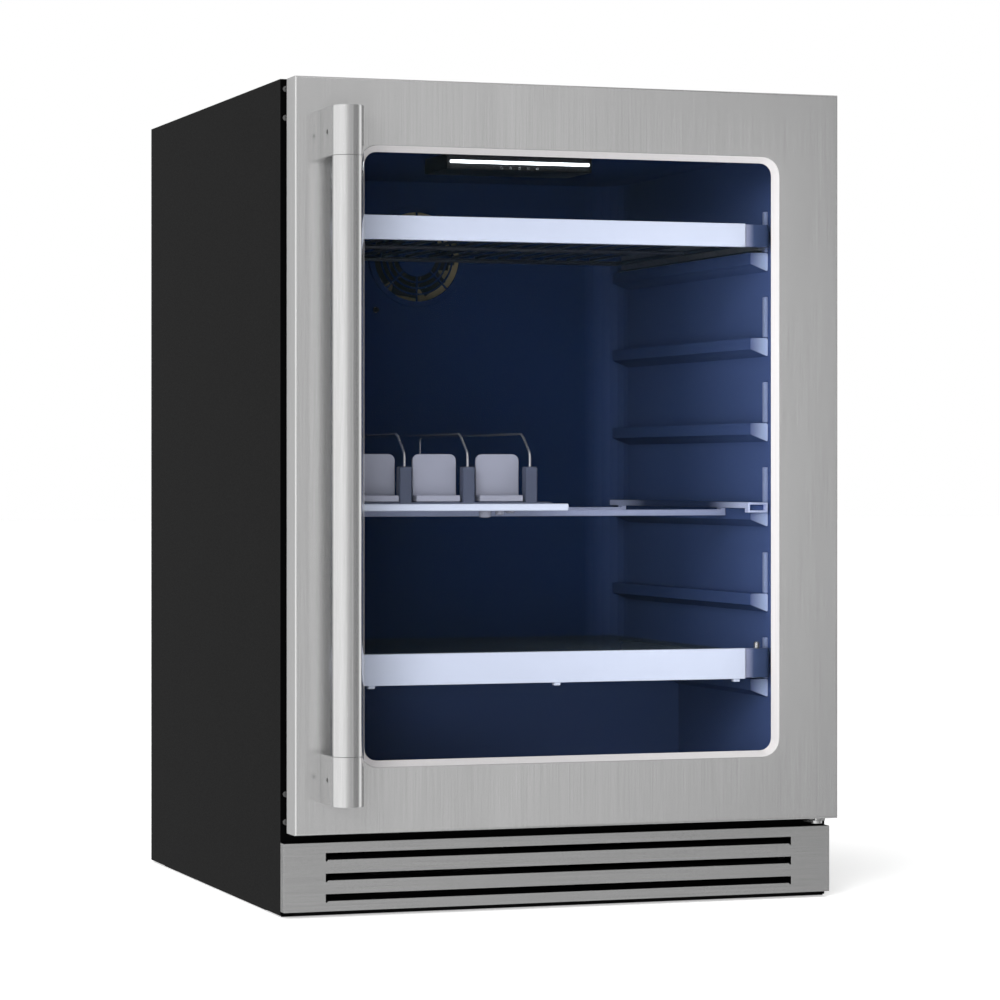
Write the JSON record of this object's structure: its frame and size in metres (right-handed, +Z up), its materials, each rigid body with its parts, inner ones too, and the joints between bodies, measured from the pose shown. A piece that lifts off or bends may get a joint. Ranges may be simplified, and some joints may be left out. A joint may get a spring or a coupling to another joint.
{
  "type": "undercounter refrigerator",
  "caption": "Undercounter refrigerator with a hinged glass door, a bar handle, a louvred toe kick, sliding racks and a lit interior.",
  "frame": {"origin": "on the floor, under the middle of the overall depth and width", "axes": "+Z up, -Y out of the door (front), +X to the right seen from the front"},
  "size_m": [0.595, 0.6644, 0.842],
  "materials": {
    "painted_shell": "satin black powder coat",
    "galvanised": "zinc-coated sheet, dull spangle",
    "stainless": "brushed, fine grain",
    "handle_steel": "fine satin, near polished",
    "hinge_steel": "plated, satin",
    "black_plastic": "matte",
    "liner": "satin navy",
    "trim": "anodised satin",
    "foam": "cut foam",
    "gasket": "soft matte",
    "clear_glass": "clear",
    "clear_plastic": "clear moulded",
    "wire": "dark epoxy coat",
    "screw": "black oxide",
    "fins": "bare",
    "lamp": "lit diffuser",
    "foot": "hard rubber"
  },
  "bodies": {
    "cabinet": {"back_panel": "galvanised", "base_pan": "painted_shell", "bottom_cradle": "wire", "ceiling_module": "black_plastic", "compressor": "painted_shell", "condenser_coil": "fins", "condenser_fan_motor": "galvanised", "evaporator_coil": "fins", "evaporator_fan_motor": "black_plastic", "fan_grille": "liner", "flange_screw_1": "screw", "flange_screw_2": "screw", "flange_screw_3": "screw", "flange_screw_4": "screw", "foam_insulation": "foam", "half_shelf_glass": "clear_glass", "half_shelf_trim": "trim", "hinge_bracket_lower": "hinge_steel", "hinge_bracket_upper": "hinge_steel", "inner_liner": "liner", "lane_divider": "wire", "lane_stop_1": "clear_plastic", "lane_stop_2": "clear_plastic", "lane_stop_3": "clear_plastic", "light_lens": "lamp", "lower_slide_outer_left": "galvanised", "lower_slide_outer_right": "galvanised", "middle_support": "galvanised", "outer_shell": "painted_shell", "power_inlet": "black_plastic", "rear_service_cover": "galvanised", "temperature_sensor": "black_plastic", "toe_kick_grille": "stainless", "wine_slide_outer_left": "galvanised", "wine_slide_outer_right": "galvanised"},
    "door": {"door_frame": "stainless", "door_inner_frame": "black_plastic", "outer_glass": "clear_glass", "inner_glass": "clear_glass", "glass_spacer": "black_plastic", "door_gasket": "gasket", "handle_bar": "handle_steel", "handle_bracket_upper": "handle_steel", "handle_bracket_lower": "handle_steel", "handle_set_screw_upper": "screw", "handle_set_screw_lower": "screw"},
    "wine_rack": {"wine_rack_frame": "wire", "wine_rack_trim": "trim", "wine_slide_inner_left": "galvanised", "wine_slide_inner_right": "galvanised"},
    "lower_shelf": {"lower_shelf_glass": "clear_glass", "lower_shelf_trim": "trim", "lower_slide_inner_left": "galvanised", "lower_slide_inner_right": "galvanised"},
    "evaporator_fan": {"evaporator_fan_rotor": "black_plastic"},
    "condenser_fan": {"condenser_fan_rotor": "black_plastic"},
    "foot_1": {"levelling_foot_1": "foot"},
    "foot_2": {"levelling_foot_2": "foot"},
    "foot_3": {"levelling_foot_3": "foot"},
    "foot_4": {"levelling_foot_4": "foot"}
  },
  "joints": [
    {"name": "door_hinge", "type": "hinge", "parent": "cabinet", "child": "door", "pos_m": [0.278, -0.25375, 0.0862], "axis": [0, 0, 1], "range_deg": [0, 110]},
    {"name": "wine_rack_slide", "type": "slide", "parent": "cabinet", "child": "wine_rack", "axis": [0, -1, 0], "range_m": [0, 0.3]},
    {"name": "lower_shelf_slide", "type": "slide", "parent": "cabinet", "child": "lower_shelf", "axis": [0, -1, 0], "range_m": [0, 0.3]},
    {"name": "evaporator_fan_spin", "type": "hinge", "parent": "cabinet", "child": "evaporator_fan", "pos_m": [0, 0.27725, 0.697], "axis": [0, 1, 0], "continuous": true},
    {"name": "condenser_fan_spin", "type": "hinge", "parent": "cabinet", "child": "condenser_fan", "pos_m": [-0.185, 0.18925, 0.08], "axis": [0, 1, 0], "continuous": true},
    {"name": "foot_1_screw", "type": "slide", "parent": "cabinet", "child": "foot_1", "axis": [0, 0, -1], "range_m": [0, 0.02]},
    {"name": "foot_2_screw", "type": "slide", "parent": "cabinet", "child": "foot_2", "axis": [0, 0, -1], "range_m": [0, 0.02]},
    {"name": "foot_3_screw", "type": "slide", "parent": "cabinet", "child": "foot_3", "axis": [0, 0, -1], "range_m": [0, 0.02]},
    {"name": "foot_4_screw", "type": "slide", "parent": "cabinet", "child": "foot_4", "axis": [0, 0, -1], "range_m": [0, 0.02]}
  ],
  "couplings": [
    {"joint": "wine_rack_slide", "follows": "door_hinge", "m_per_rad": 0.045},
    {"joint": "lower_shelf_slide", "follows": "door_hinge", "m_per_rad": 0.045}
  ]
}
